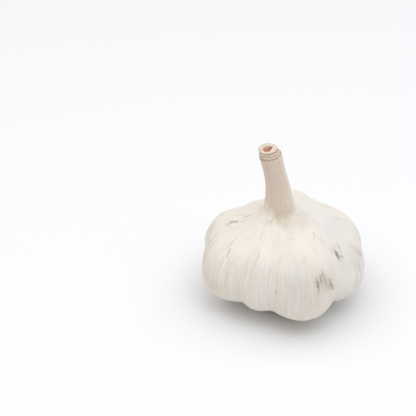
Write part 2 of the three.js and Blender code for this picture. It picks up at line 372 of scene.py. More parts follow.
# Soft brown stains, with painted shade, shadow and reflection among them: strength, width and the points of
# their line.
STAINS_AND_PAINTED_SHADE = [
    (0.26, 2.2, (-21, 26), (-19.8, 24.5), (-17.5, 22)),
    (0.26, 1, (-29.2, 21.5), (-29.6, 19), (-30.5, 16), (-31, 13)), (0.22, 1, (-24, 21), (-25, 17), (-26, 13)),
    (0.26, 0.8, (-119, 28.1), (-117, 27.3), (-117, 26), (-118.2, 24), (-118.8, 22)),
    (0.14, 0.7, (-118.8, 22.4), (-119.3, 17)), (0.18, 0.7, (-122.8, 27.9), (-124.5, 26.5), (-125.5, 23.5)),
    (0.14, 0.8, (-130.8, 23), (-131.5, 19.7), (-132.5, 16)),
    (0.26, 0.8, (-146.2, 26.9), (-145.2, 26.3), (-144, 25.4)),
    (0.16, 0.7, (-140.8, 24.5), (-139.8, 22.1), (-138.8, 19)),
    (0.24, 0.6, (-151.5, 28.9), (-151.8, 28.5), (-150.5, 28), (-150, 27.6), (-148.8, 27)),
    (0.22, 0.8, (-156.2, 21.2), (-156.5, 19.3), (-156, 17.4)), (0.14, 0.9, (-150.5, 23), (-150.5, 20.5)),
    # Brown streaks along the left valley, partly stain and partly painted shade in the valley.
    (0.38, 0.9, (-176.5, 26), (-174.6, 25.4), (-172.8, 24.6), (-173.5, 23.1), (-173.6, 21.6)),
    (0.32, 0.9, (175, 22.8), (177.8, 21.7), (180, 20.6)), (0.2, 1.6, (-165, 26), (-167, 23), (-169.5, 19)),
    # Along the left side, painted shadow and warm painted reflection from a neighbouring bulb.
    (0.2, 4, (157, 24), (163, 22), (176, 22), (185, 21.5), (196, 20.5), (203, 18.5)),
    (0.28, 2.4, (165, 24.5), (176, 23.4), (180, 21)),
    (0.14, 6, (185, 20), (196, 18), (206, 15.5), (211, 13.5)),
    # Dashes along the seam on the shoulder, partly browned edges and partly painted shade in the crack where
    # the leaf's edges overlap.
    (0.35, 0.5, (182.3, 30.2), (179.3, 30.5), (178.4, 30.9)),
    (0.8, 0.55, (178.2, 31.2), (178.1, 31.6), (179.4, 32.3)),
    (0.45, 0.5, (179.4, 32.4), (177.2, 33), (175, 33.8), (179.5, 34.8)),
    (0.3, 0.6, (-173, 30.4), (-171.8, 31.5), (-169.8, 32.6), (-166.8, 33.7)),
    (0.42, 1.1, (178.5, 28), (180, 28.4), (181, 28.8)),
    (0.22, 0.6, (165.5, 28.6), (168.5, 29.9), (172.2, 31.1)),
    (0.45, 0.7, (157.2, 25.2), (157, 26), (156.4, 26.9)), (0.34, 0.8, (7.8, 33.6), (-3.8, 33.7)),
    (0.34, 0.9, (-14.5, 34), (-24, 34.2), (-32.2, 34.2)), (0.26, 1.2, (-81.8, 31.3), (-76, 31.3)),
    (0.22, 0.9, (-71.8, 32.3), (-74.8, 32)), (0.22, 0.9, (-49.5, 32.4), (-52.5, 32)),
    (0.24, 0.7, (-46.8, 30.3), (-51.5, 30.1)), (0.26, 0.7, (-42, 29.8), (-41, 29.5), (-41.5, 28.9)),
    (0.3, 1, (14.2, 28.7), (16, 27.8), (15, 26.9)), (0.28, 0.9, (28.8, 27.2), (26, 26.6)),
    (0.24, 1, (37, 29.2), (38.8, 28.3)), (0.16, 1.4, (-5, 32.6), (-13.8, 32.1), (-19.8, 31.4)),
    (0.2, 2.6, (-185, 36.3), (-150, 36.4), (-125, 36.2), (-105, 35.2)),
    (0.14, 3.4, (-48, 33.4), (-25, 33.5), (-5, 33.3)), (0.12, 4.5, (-178, 40), (-178, 53)),
    (0.15, 2.2, (-130, 33.3), (-106, 33.8), (-92, 34.6)), (0.3, 0.7, (-94.8, 28.2), (-95.8, 26.6)),
    (0.16, 1, (-103, 30.4), (-104, 29.2)), (0.16, 0.9, (-125.5, 31.4), (-125, 30.2)),
    (0.24, 0.8, (-76.2, 27.6), (-73.5, 27.6), (-71.5, 28.4)), (0.16, 1, (-58, 29.3), (-58.8, 28.2)),
    (0.32, 0.7, (-122.8, 33.4), (-117.8, 33.7), (-112, 34.1)), (0.22, 1.2, (72, 27), (74, 23), (75.5, 17)),
    (0.25, 1.4, (108, 28.5), (110, 25), (112, 20)), (0.24, 1.2, (38, 27), (36.5, 23), (35.5, 18)),
]
# Broad painted shade in the skin's colour, in the same form: darkening that stands in for shading, and for a
# neighbouring bulb's shadow at the left; a negative one is painted light and paler.
PAINTED_SHADING = [
    (0.15, 12, (-78, 22.5), (-66, 21.5), (-58, 20)), (0.06, 6, (-79, 28), (-71, 26)),
    (0.02, 6, (-112, 30.5), (-90, 29.5)), (-0.12, 5.5, (-60, 15.5), (-53, 16), (-49, 18), (-48.5, 20.5)),
    (-0.055, 5, (-150, 9), (-125, 8), (-100, 8), (-75, 8), (-55, 9)), (0.04, 5, (-51, 27.5), (-43, 27.5)),
    (-0.03, 5, (-150, 24), (-146, 22), (-143, 20)), (0.03, 3.5, (-116, 24), (-113, 20)),
    (0.02, 4, (-91.5, 31), (-91, 27), (-91, 24)), (-0.05, 2, (-152, 47), (-150, 38.5)),
    (-0.06, 2, (-46, 44), (-52, 38.5)), (0.03, 6, (197, 17.5), (205, 15.5), (211, 13)),
    (-0.07, 7, (-40, 16), (-34, 18), (-28, 17)), (0.06, 10, (-34, 28), (-24, 24)),
    (0.05, 8, (-20, 30), (5, 29)), (0.06, 3.5, (-45, 33.2), (-20, 33.2), (0, 33.2)),
    (0.06, 3, (-66, 22.5), (-58, 20)), (0.08, 2.4, (-39, 27.2), (-37.5, 25.4)),
    (0.08, 2.3, (-92, 33.9), (-84, 33.2), (-77, 33.4)), (0.03, 2.2, (-130, 33.3), (-106, 33.8)),
    (0.04, 1.8, (-90, 35.4), (-78, 35.8)), (-0.05, 2, (-57, 40), (-54, 37)),
    (0.05, 3.5, (-70, 32.8), (-50, 32.6), (-30, 32.6)),
    (-0.06, 2.2, (-182, 35.5), (-164, 35.6), (-146, 35.4), (-127, 35.6)),
    (-0.04, 1.2, (171, 28.8), (175.5, 29.9)), (-0.04, 1.1, (-176, 28.9), (-169, 29.8)),
]
# Where the cream skin is a little greyer, in the same form.
COOLER = [(0.3, 9, (-168, 25), (-142, 26), (-118, 25))]
# Thin dark strokes, in the same form.
STROKES = [
    (0.6, 0.84, (-68.2, 23.9), (-68.2, 22.5)), (1, 1, (-68.2, 22.8), (-68, 21.2)),
    (0.75, 0.88, (-68, 21.1), (-68.2, 19.7)), (0.25, 0.72, (-68.2, 19.8), (-68.2, 18.6)),
    (0.8, 1, (-64.5, 24.3), (-65, 22.6)), (0.5, 0.8, (-65, 22.8), (-65, 20.5)),
    (0.75, 0.93, (-62, 24.8), (-62, 22.6)), (0.65, 0.84, (-61.8, 22.6), (-61.5, 20.8)),
    (0.3, 0.72, (-61.6, 20.9), (-62.2, 19.9)), (0.45, 0.76, (-60, 23.7), (-60.5, 22.2)),
    (0.35, 0.72, (-59.2, 22.2), (-60, 20.2)), (0.8, 0.96, (-57.2, 21.9), (-56.7, 20.2)),
    (0.95, 0.96, (-56.8, 20.4), (-55.8, 18.4)), (0.6, 0.8, (-57.8, 20.7), (-59.5, 19.3)),
    (0.25, 0.72, (-59.5, 19.5), (-60.5, 18.5)), (0.3, 0.72, (-55.8, 18.3), (-54.5, 16.1)),
    (0.75, 0.86, (-38.1, 27.1), (-38.9, 26.7)), (1.4, 0.88, (-38.9, 26.7), (-40.3, 25.6)),
    (0.7, 0.84, (-40.3, 25.6), (-40.8, 24.9)), (0.65, 0.88, (-31.3, 27.7), (-32.9, 27.1)),
    (0.45, 0.72, (-32.7, 27.2), (-33.4, 26.5)), (0.5, 0.72, (-33.1, 26.6), (-35, 26.1)),
    (0.7, 0.84, (-38.7, 25.8), (-36, 25.3)), (0.4, 0.68, (-36, 25.7), (-38.2, 24.7)),
    (0.45, 0.8, (-34.7, 28), (-36.9, 27.4)), (0.2, 0.68, (-34.4, 28.4), (-37.1, 27.8)),
    (0.25, 0.68, (-40.3, 27.4), (-43, 26.8)), (0.7, 0.88, (-15.8, 23.5), (-16.1, 21.3)),
    (0.6, 0.84, (-25.2, 20.7), (-26, 18.2)), (0.58, 0.95, (-97, 18.9), (-97.2, 18.3)),
    (0.5, 0.8, (-41.8, 31), (-45.9, 30.4)), (0.35, 0.68, (-42.1, 29.9), (-41.4, 29)),
    (0.6, 0.84, (-146.3, 27), (-145.1, 26.2)), (0.45, 0.72, (-145.2, 26.4), (-143.9, 25.3)),
    (0.3, 0.72, (-151.5, 29), (-151.8, 28.4)), (0.32, 0.76, (-150.7, 28.3), (-149.9, 27.5)),
    (0.4, 0.8, (-139.5, 29.7), (-139.2, 29.3)), (0.35, 0.72, (-120.3, 28.2), (-117.2, 27.4)),
    (0.4, 0.84, (-117, 27.5), (-117, 25)), (0.4, 0.84, (-176, 25.9), (-173, 24.6)),
    (0.6, 0.88, (-172.9, 24.7), (-173.6, 22)), (0.25, 0.8, (-173.2, 27.6), (-176.6, 26.3)),
    (0.35, 0.72, (-122.8, 33.4), (-113, 34.1)), (0.45, 0.72, (-109.2, 34.6), (-97, 35.4)),
]


def skin_attributes(angle, arc):
    """The skin's own coordinates, and how much of each tint belongs where."""
    height = np.interp(arc, ARCS, MEAN_HEIGHTS)
    edge = np.interp(height, *zip(*WARM_EDGE)) + grown(angle, arc, WARM_EDGE_STRAY)
    past = np.mod(angle - edge + 180, 360) - 180
    grey = smoothstep(past, *GREY_FROM) * smoothstep(past, *GREY_UP_TO)
    foot = np.interp(angle, *zip(*NECK_FOOT), period=360)
    above_foot = height - foot + grown(angle, arc, NECK_FOOT_STRAY)
    lower = smoothstep(arc, *map(arc_of, VEIN_HEIGHTS))
    front = 0.5 + 0.5 * np.cos(np.radians(angle + 90))
    return {
        "arc": arc,
        "fibre": around_axis(BELLY_RADIUS, angle, arc),  # true to size at the belly
        "neck": smoothstep(above_foot, *NECK_FOOT_EASE),
        "warm": 1 - GREYNESS * grey - strongest(angle, arc, COOLER),
        "veins": mix(UPPER_VEINS, 1, lower) * mix(1, GREY_VEINS, grey) * mix(BACK_VEINS, 1, front),
        # The next entry is painted shade in the colour, and painted light where it is negative.
        "painted_shading": summed(angle, arc, PAINTED_SHADING),
    }


# ---- The outer leaf
LEAF_THICKNESS = 0.3
LEAF_BOTTOM = 9.4  # arc of its lower edge, beside the root plate
# The leaf's two edges meet in a seam, from low on the back left clove over the left shoulder to the
# neck. They stand apart in a torn strip at the back and in a small gap on the shoulder, where the
# skin under the leaf shows. Along the seam: height, angle, and how far apart the edges are.
SEAM = [
    (0, 153, 7), (8, 152, 9), (14, 150, 10.5), (20, 151, 8.5), (23.5, 153, 5), (25.6, 155.5, 1.6),
    (26.6, 158, 0), (27.3, 166, 0), (28, 175, 0), (28.5, 177, 0.35), (28.8, 177.8, 0.85),
    (29.1, 178.5, 0.9), (29.5, 180.1, 0.9), (29.8, 181.8, 0.7), (30.2, 183.2, 0), (30.6, 180, 0),
    (31.3, 178.3, 0), (34, 177, 0), (60, 178, 0),
]
TORN_WIDTHS = (1.2, 3)  # how far apart the edges are where they start to be ragged, and are
LEFT_TEAR = [(0.5, 1, 1.9, 31), (0.15, 1, 0.6, 32)]
BACK_TEAR = [(0.6, 1, 2.3, 33), (0.15, 1, 0.5, 34)]
OPEN_WIDTHS = (0.05, 0.8)  # how far apart they are where they start to turn in, and have
TUCK = 0.6  # how deep they turn in
CURL, CURL_WIDTH, CURL_UNEVEN = 0.08, 0.9, (0.08, 1, 3, 35)  # beside that they curl out
BROWN_EDGE_WIDTH = 0.3
# The leaf's columns: its two edges' own angles, degrees from an edge to the columns beside it, and
# the others' start, end and step, closest across the dark strokes.
FIRST_COLUMN, LAST_COLUMN = -190, 155
EDGE_STEPS = np.array([0, 0.12, 0.28, 0.5, 0.8, 1.2])
COLUMN_RUNS = [(FIRST_COLUMN + 1.8, -75, 0.68), (-75, -30, 0.46), (-30, 0, 0.72), (0, LAST_COLUMN - 1.5, 1)]
BLEND_COLUMNS = 75  # how far round from an edge the columns follow it
BODY_ROWS, NECK_ROWS = 166, 42
NECK_ROWS_FROM = 33
# The leaf's torn top: how uneven it is, its mean drop, and the length of neck that takes these up.
RIM, RIM_DROP, RIM_STRETCH = [(0.16, 14, 1, 41), (0.05, 60, 1, 42)], 0.2, 2
RIM_ROW_DROPS = np.array([[0], [0.15], [1.6]])  # its three rows that turn in
RIM_BEVEL, RIM_INSIDE = 0.14, -0.27  # how far in the first of them is, and where the others are
RIM_BROWN_DEPTHS = (0.55, 0.1)
ROOT_STRAY, ROOT_BROWN_WIDTH, ROOT_BROWN_STRENGTH = (1.2, 60, 2, 52), 1.8, 0.45
STROKE_STRAY = (0.5, 240, 0.8, 91)


def leaf_edges(arc):
    """The angles of the leaf's two edges, ragged where torn, and how far apart they are."""
    height = np.interp(arc, ARCS, MEAN_HEIGHTS)
    size = degree_size(arc)
    heights, angles, widths = zip(*SEAM)
    seam, apart = np.interp(height, heights, angles), np.interp(height, heights, widths)
    torn = smoothstep(apart, *TORN_WIDTHS) / size
    left = seam - 360 + apart / 2 / size + torn * grown(0, arc, *LEFT_TEAR)
    back = seam - apart / 2 / size + torn * grown(0, arc, *BACK_TEAR)
    return left, back, apart


def leaf_grid():
    """The leaf's rows, its two edges, how far apart they are, and its points' angles."""
    body_rows = np.linspace(LEAF_BOTTOM, arc_of(NECK_ROWS_FROM), BODY_ROWS)
    neck_rows = np.linspace(arc_of(NECK_ROWS_FROM), ARC_TOP, NECK_ROWS)[1:]
    arc = np.concatenate([body_rows, neck_rows])[:, None]
    runs = [np.arange(*run) for run in COLUMN_RUNS]
    columns = np.concatenate([FIRST_COLUMN + EDGE_STEPS, *runs, LAST_COLUMN - EDGE_STEPS[::-1]])[None]
    left, back, apart = leaf_edges(arc)
    near_left = smoothstep(columns, FIRST_COLUMN + BLEND_COLUMNS, FIRST_COLUMN)
    near_back = smoothstep(columns, LAST_COLUMN - BLEND_COLUMNS, LAST_COLUMN)
    angle = columns + (left - FIRST_COLUMN) * near_left + (back - LAST_COLUMN) * near_back
    return arc, left, back, apart, angle


def outer_leaf(material):
    arc, left, back, apart, angle = leaf_grid()
    open_here = smoothstep(apart, *OPEN_WIDTHS)
    from_edge = np.minimum(angle - left, back - angle) * degree_size(arc)
    curl = np.exp(-from_edge / CURL_WIDTH) * open_here * (CURL + grown(0, arc, CURL_UNEVEN))
    out = skin_relief(angle, arc) + summed(angle, arc, FOLDS) + curl
    rim = grown(angle, 0, *RIM) - RIM_DROP
    arc = arc + rim * smoothstep(arc, ARC_TOP - RIM_STRETCH, ARC_TOP)

    # The edges turn in: a column more at each side, then a row below and three inside the rim.
    angle = np.concatenate([left, angle, back], axis=1)
    arc, out = (np.pad(values, ((0, 0), (1, 1)), mode="edge") for values in (arc, out))
    out[:, [0, -1]] -= TUCK * open_here
    edge = np.exp(-np.pad(from_edge, ((0, 0), (1, 1))) / BROWN_EDGE_WIDTH) * open_here
    grids = (np.pad(values, ((1, 3), (0, 0)), mode="edge") for values in (angle, arc, out, edge))
    angle, arc, out, edge = grids
    arc[-3:] -= RIM_ROW_DROPS
    out[0] -= 2 * TUCK
    out[-3] -= RIM_BEVEL
    out[-2:] = RIM_INSIDE
    edge[-3] += 1
    edge = np.maximum(edge, smoothstep(ARC_TOP - arc, *RIM_BROWN_DEPTHS))

    attributes = skin_attributes(angle, arc)
    ragged = arc + grown(angle, arc, ROOT_STRAY)
    attributes["root"] = ROOT_BROWN_STRENGTH * smoothstep(ragged, LEAF_BOTTOM + ROOT_BROWN_WIDTH, LEAF_BOTTOM)
    # Stains on the leaf, partly painted shade in creases and cracks, and painted shadow and reflection at the
    # left.
    attributes["stain_and_shade"] = strongest(angle, arc, STAINS_AND_PAINTED_SHADE)
    attributes["marks"] = strongest(angle + grown(angle, arc, STROKE_STRAY), arc, STROKES)
    attributes["edge"] = edge
    points = lift_end(on_skin(angle, np.minimum(arc, ARC_TOP), out))
    return make_mesh("outer_leaf", points, grid_faces(points), attributes, material)


# ---- The skin under the leaf
INNER_TOP = 41  # height inside the neck where it ends
INNER_RUNS = [(124, 196, 0.5), (196, 484, 2.25)]  # its columns, closest where it shows
INNER_ROWS = 200
INNER_TURN, INNER_RELIEF = 7, 0.6  # its ribs are the leaf's, turned, and this share as high
INNER_EASE = 2.5  # how far from the root plate it is full depth under the leaf
INNER_WARMTH, INNER_WARMTH_UNEVEN = 0.75, (0.2, 20, 9, 51)
INNER_VEINS = 0.7
GAP_LINE = [(176, 28.3), (178.5, 29.1), (180.1, 29.5), (183.2, 30.2)]
GAP_FOLDS = [(0.16, 1.5, *GAP_LINE)]
# The gap's olive tan is partly stained tissue and partly painted shade in the gap under the leaf's edges.
GAP_STAINS_AND_SHADE = [(0.64, 1.3, *GAP_LINE), (0.35, 1.2, (150, 26), (148, 22), (150, 16), (152, 10))]
RING_STRAY, RING_WIDTHS, RING_STRENGTH = (0.8, 60, 2, 52), (2.4, 0.4), 0.85  # the brown ring


def inner_skin(material):
    columns = np.concatenate([np.arange(*run) for run in INNER_RUNS])
    rows = np.linspace(PLATE_RADIUS, arc_of(INNER_TOP), INNER_ROWS)
    arc, angle = np.meshgrid(rows, columns, indexing="ij")
    out = INNER_RELIEF * skin_relief(angle + INNER_TURN, arc) + summed(angle, arc, GAP_FOLDS)
    out = (out - LEAF_THICKNESS) * smoothstep(arc, PLATE_RADIUS, PLATE_RADIUS + INNER_EASE)
    attributes = skin_attributes(angle, arc)
    attributes["warm"] = INNER_WARMTH + grown(angle, arc, INNER_WARMTH_UNEVEN)
    attributes["veins"] = attributes["veins"] * INNER_VEINS
    from_plate = arc - PLATE_RADIUS + grown(angle, arc, RING_STRAY)
    attributes["root"] = RING_STRENGTH * smoothstep(from_plate, *RING_WIDTHS)
    # Stains, and painted shade in the shoulder's gap.
    attributes["stain_and_shade"] = strongest(angle, arc, GAP_STAINS_AND_SHADE)
    attributes["marks"] = attributes["edge"] = np.zeros_like(arc)
    points = on_skin(angle, arc, out)
    return make_mesh("inner_skin", points, grid_faces(points, closed=True), attributes, material)


# ---- The neck's cut end
# The inner sheath from inside the torn one up over the cut and down to the hollow's mouth:
# radius, height, how far the row follows the scallops of its outer layer, and the brown of its edges, which
# in the grooves under its layers' lips is partly painted shade.
SHEATH_ROWS = [
    (3.3, 54.4, 0, 0), (3.36, 55.6, 0, 0.1), (3.4, 56, 0, 0.3), (3.42, 56.25, 0.3, 0.05),
    (3.42, 56.45, 0.8, 0), (3.39, 56.58, 1, 0.05), (3.31, 56.63, 1, 0.3), (3.2, 56.62, 1, 0.7),
    (3.17, 56.72, 1, 0.7), (3.19, 56.85, 0.8, 0.35), (3.22, 57.1, 0.4, 0.05), (3.24, 57.45, 0.1, 0),
    (3.19, 57.8, 0, 0.3), (3.13, 57.93, 0, 0.75), (3.14, 58.04, 0, 0.6), (3.2, 58.14, 0, 0.8),
    (3.18, 58.24, 0, 1), (3.08, 58.3, 0, 0.6), (2.92, 58.3, 0, 0.1), (2.72, 58.28, 0, 0.1),
    (2.62, 58.2, 0, 0.45), (2.52, 58.27, 0, 0.1), (2.35, 58.3, 0, 0), (2.15, 58.3, 0, 0),
    (2.05, 58.24, 0, 0.25), (1.95, 58.29, 0, 0.05), (1.8, 58.27, 0, 0), (1.68, 58.2, 0, 0.05),
    (1.6, 58.05, 0, 0.1), (1.55, 57.7, 0, 0.15),
]
SHEATH_SIDE = [(0.05, 16, 2, 64), (0.02, 60, 3, 65)]
SHEATH_INSET = 0.03
SCALLOPS = [(0.22, 11, 1, 62), (0.07, 40, 1, 63)]
CUT_BUMPS = [(0.07, 12, 0.8, 66), (0.03, 44, 0.4, 67)]
CUT_DROP = 0.1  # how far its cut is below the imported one's
CUT_HEIGHTS = (57.5, 58.1)  # where those two start, and are full
SIDE_TO_CUT_ROWS = (14, 17)  # the rows over which its side passes into its cut
MOUTH_ROWS = (17, 28)  # the rows over which it takes on the hollow's outline
SHEATH_BROWN, SHEATH_BROWN_UNEVEN = 0.8, (0.4, 15, 6, 68)
AROUND_NECK = 180

# The hollow's wall, from its mouth down: radius and height.
HOLLOW_ROWS = [(1.55, 57.72), (1.5, 57.4), (1.46, 57), (1.38, 56.5), (1.28, 55.9), (1.15, 55.1),
               (0.95, 54.2), (0.6, 53.5), (0.05, 53.3)]
HOLLOW_TURN = 48  # the hollow is longest this way round
HOLLOW_OVAL, HOLLOW_LOBES, LOBES_TURN, HOLLOW_UNEVEN = 0.13, 0.06, 0.9, (0.06, 14, 1, 61)
HOLLOW_SHIFT = 0.17  # how far it lies to the left, as a share of its radius
WRINKLES = [(0.1, 18, 1.2, 71), (0.05, 40, 0.6, 72)]
WRINKLE_HEIGHTS = (57.9, 57.2)
# The scrap inside the hollow: its rows' heights up its outer side, and how far out from its middle
# they are. Its inner side mirrors them.
SCRAP_ROWS = np.array([(54, 0.06), (55.2, 0.06), (56.2, 0.06), (56.8, 0.06), (57.1, 0.04)])
SCRAP_RADIUS, SCRAP_UNEVEN = 0.95, (0.12, 12, 1, 73)
SCRAP_ANGLES, SCRAP_COLUMNS = (150, 385), 60
SCRAP_TILT, SCRAP_HIGHEST = 0.35, 240  # how much higher it is at one angle


def hollow_outline(angle, share):
    """The hollow's radius at an angle, as a share of its mean one."""
    turned = np.radians(angle - HOLLOW_TURN)
    uneven = HOLLOW_OVAL * np.cos(2 * turned) + HOLLOW_LOBES * np.cos(3 * turned + LOBES_TURN)
    uneven = uneven + grown(angle, 0, HOLLOW_UNEVEN)
    return 1 + (uneven - HOLLOW_SHIFT * np.cos(np.radians(angle))) * share


def inner_sheath(material):
    radius, height, scallop, brown = np.array(SHEATH_ROWS).T[..., None]
    angle = angles_round(AROUND_NECK)
    row = np.arange(len(SHEATH_ROWS))[:, None] + 0 * angle
    inward = smoothstep(row, *MOUTH_ROWS)
    upper = smoothstep(height, *CUT_HEIGHTS)
    radii = radius * hollow_outline(angle, inward) + grown(angle, height, *SHEATH_SIDE) * (1 - inward)
    radii = radii - SHEATH_INSET
    heights = height + grown(angle, 0, *SCALLOPS) * scallop
    heights = heights + (grown(angle, radius, *CUT_BUMPS) - CUT_DROP) * upper
    attributes = {
        "grain": around_axis(radii, angle, heights),
        "brown": brown * (SHEATH_BROWN + grown(angle, row, SHEATH_BROWN_UNEVEN)),
        "cut": smoothstep(row, *SIDE_TO_CUT_ROWS),
    }
    points = lift_end(on_ring(heights, angle, radii))
    return make_mesh("inner_sheath", points, grid_faces(points, closed=True), attributes, material)


def hollow_wall():
    """The angles, heights and radii of the dry hollow's wall."""
    radius, height = np.array(HOLLOW_ROWS).T[..., None]
    angle = angles_round(AROUND_NECK)
    wrinkles = grown(angle, height, *WRINKLES) * smoothstep(height, *WRINKLE_HEIGHTS)
    radii = radius * (hollow_outline(angle, 1) + wrinkles)
    return np.broadcast_arrays(angle, height, radii)


def hollow_scrap():
    """The angles, heights and radii of a curled scrap of the innermost sheath."""
    height, side = np.concatenate([SCRAP_ROWS, SCRAP_ROWS[::-1] * (1, -1)]).T[..., None]
    angle = np.linspace(*SCRAP_ANGLES, SCRAP_COLUMNS)[None]
    tilt = SCRAP_TILT * np.cos(np.radians(angle - SCRAP_HIGHEST))
    return np.broadcast_arrays(angle, height + tilt, SCRAP_RADIUS + side + grown(angle, height, SCRAP_UNEVEN))


def neck_core(material):
    """The walls of the dry hollow, and the scrap inside it."""
    points, grains, depths, faces = [], [], [], []
    for (angle, height, radii), closed in ((hollow_wall(), True), (hollow_scrap(), False)):
        first = sum(len(part) for part in points)
        faces += (np.array(grid_faces(radii, closed)) + first).tolist()
        points.append(on_ring(height, angle, radii).reshape(-1, 3))
        grains.append(around_axis(radii, angle, height).reshape(-1, 3))
        depths.append(CUT_TOP - height.ravel())
    attributes = {"grain": np.concatenate(grains), "depth": np.concatenate(depths)}
    return make_mesh("neck_core", lift_end(np.concatenate(points)), faces, attributes, material)


# ---- The root plate
# The plate's underside from its rim in: radius and height.
PLATE_ROWS = [(9.2, 1.3), (8.9, 0.8), (8.5, 0.5), (7.9, 0.5), (7, 0.75), (6, 0.92), (4.8, 1),
              (3.4, 1), (2, 0.95), (0.9, 0.9), (0.1, 0.9)]
PLATE_RINGS, AROUND_PLATE = 46, 160
PLATE_BUMPS = [(0.18, 30, 1.3, 81), (0.1, 70, 0.6, 82)]
PLATE_BUMP_RADII = (0.3, 3)
STUBS, STUB_SIDES, STUB_SEED = 240, 6, 83
# A stub's numbers are drawn from these ranges: its place round the plate, share of the area that it
# starts in, length, half its width, turn from straight outwards, and fall halfway along.
STUB_RANGES = [(0, 2 * math.pi), (0.02, 1), (0.9, 2.4), (0.22, 0.42), (-0.7, 0.7), (0.25, 0.5)]
STUB_AREA_RADIUS = 7.6
STUB_HEIGHT = 0.9
STUB_FLATNESS, STUB_LIE, STUB_CLEARANCE = 0.85, 0.9, 0.03
# A stub's rings: share of its length and share of its width.
STUB_RINGS = [(0, 1.15), (0.3, 1), (0.6, 0.95), (0.85, 0.9), (1, 0.8), (1, 0.05)]


def root_plate(material):
    """The corky plate, a little hollow under its rim, seen from below."""
    rows = np.array(PLATE_ROWS)
    places = np.linspace(0, len(rows) - 1, PLATE_RINGS)
    radius, height = (np.interp(places, np.arange(len(rows)), column)[:, None] for column in rows.T)
    angle = -angles_round(AROUND_PLATE)
    bumps = grown(angle, radius, *PLATE_BUMPS) * smoothstep(radius, *PLATE_BUMP_RADII)
    points = around_axis(radius, angle, height + bumps)
    attributes = {"grain": points, "tip": np.zeros(points.shape[:-1])}
    return make_mesh("root_plate", points, grid_faces(points, closed=True), attributes, material)


def root_stub(random):
    """The rings of one trimmed root, a short bent taper that points outwards."""
    turn, area, length, half_width, off, fall = (random.uniform(*span) for span in STUB_RANGES)
    heading = turn + off
    outward = np.array([math.cos(heading), math.sin(heading)])
    sideways = np.array([-outward[1], outward[0]])
    origin = STUB_AREA_RADIUS * math.sqrt(area) * np.array([math.cos(turn), math.sin(turn)])
    around = 2 * np.pi * np.arange(STUB_SIDES) / STUB_SIDES
    rings = []
    for share, width in STUB_RINGS:
        half = half_width * width
        height = max(STUB_HEIGHT - fall * share * 2, half * STUB_LIE + STUB_CLEARANCE)
        flat = origin + outward * length * share + sideways * half * np.cos(around)[:, None]
        rings.append(np.column_stack([flat, height + half * np.sin(around) * STUB_FLATNESS]))
    return rings


def root_stubs(material):
    random = np.random.default_rng(STUB_SEED)
    points = np.array([root_stub(random) for _ in range(STUBS)])
    first = np.arange(STUBS)[:, None, None] * len(STUB_RINGS) * STUB_SIDES
    faces = np.array(grid_faces(points[0], closed=True)) + first
    tips = np.broadcast_to(np.array(STUB_RINGS)[:, :1], points.shape[:-1])
    attributes = {"grain": points, "tip": tips}
    return make_mesh("root_stubs", points, faces.reshape(-1, 4).tolist(), attributes, material)


# ---- Materials
def paint(red, green, blue):
    """A colour in linear light from its everyday 0 to 255 values."""
    shares = np.array([red, green, blue]) / 255
    linear = np.where(shares <= 0.04045, shares / 12.92, ((shares + 0.055) / 1.055) ** 2.4)
    return (*linear.tolist(), 1)


class Nodes:
    """A material's node tree, with short calls that add a node and link it.

    Its fields are attributes of the mesh and noises over one of them, and calls may name them.
    """

    def __init__(self, name, roughness, specular):
        self.material = bpy.data.materials.new(name)
        self.material.use_nodes = True
        self.tree = self.material.node_tree
        self.shader = self.tree.nodes["Principled BSDF"]
        self.put(self.shader.inputs["Roughness"], roughness)
        self.put(self.shader.inputs["Specular IOR Level"], specular)
        self.fields = {}

    def add(self, kind, inputs=None, **settings):
        node = self.tree.nodes.new("ShaderNode" + kind)
        for key, value in settings.items():
            setattr(node, key, value)
        for key, value in (inputs or {}).items():
            self.put(node.inputs[key], value)
        return node

    def put(self, socket, value):
        if isinstance(value, str):
            value = self.fields[value]
        if isinstance(value, bpy.types.NodeSocket):
            self.tree.links.new(value, socket)
        else:
            socket.default_value = value

    def read(self, *names):
        """Makes fields of float attributes."""
        for name in names:
            self.fields[name] = self.add("Attribute", attribute_name=name).outputs["Fac"]

    def grow(self, vector, noises):
        """Makes fields of noises over a vector attribute."""
        around = self.add("Attribute", attribute_name=vector).outputs["Vector"]
        for name, settings in noises.items():
            self.fields[name] = self.noise(around, *settings)

    def noise(self, vector, scale, detail, lengthways=1, shift=(0, 0, 0)):
        """Noise whose scale along the fibres is a share of its scale across them."""
        placing = {"Vector": vector, "Scale": (1, 1, lengthways), "Location": shift}
        placed = self.add("Mapping", placing).outputs["Vector"]
        inputs = {"Vector": placed, "Scale": scale, "Detail": detail}
        return self.add("TexNoise", inputs).outputs["Fac"]

    def span(self, value, low, high, to_low=0, to_high=1):
        """The value, eased from to_low at low to to_high at high."""
        inputs = {"Value": value, "From Min": low, "From Max": high, "To Min": to_low, "To Max": to_high}
        return self.add("MapRange", inputs, interpolation_type="SMOOTHSTEP").outputs["Result"]

    def blend(self, share, a, b, mode="MIX"):
        node = self.add("Mix", data_type="RGBA", blend_type=mode)
        for key, value in ((0, share), (6, a), (7, b)):
            self.put(node.inputs[key], value)
        return node.outputs[2]

    def maths(self, operation, a, b=0, c=0):
        node = self.add("Math", operation=operation)
        for index, value in enumerate((a, b, c)):
            self.put(node.inputs[index], value)
        return node.outputs[0]

    def times(self, first, *others):
        for other in others:
            first = self.maths("MULTIPLY", first, other)
        return first

    def tinted(self, colour, tints):
        """The colour with tints over it, each where its noise is and as strong as its fields."""
        for name, start, full, strength, fields, tint in tints:
            share = self.times(self.span(name, start, full, 0, strength), *fields)
            colour = self.blend(share, colour, tint)
        return colour

    def finish(self, colour, height, distance, strength):
        """Links the colour, and a bump whose height of 1 stands a distance in millimetres out."""
        self.put(self.shader.inputs["Base Color"], colour)
        inputs = {"Height": height, "Distance": distance * MM, "Strength": strength}
        self.put(self.shader.inputs["Normal"], self.add("Bump", inputs).outputs["Normal"])
        return self.material


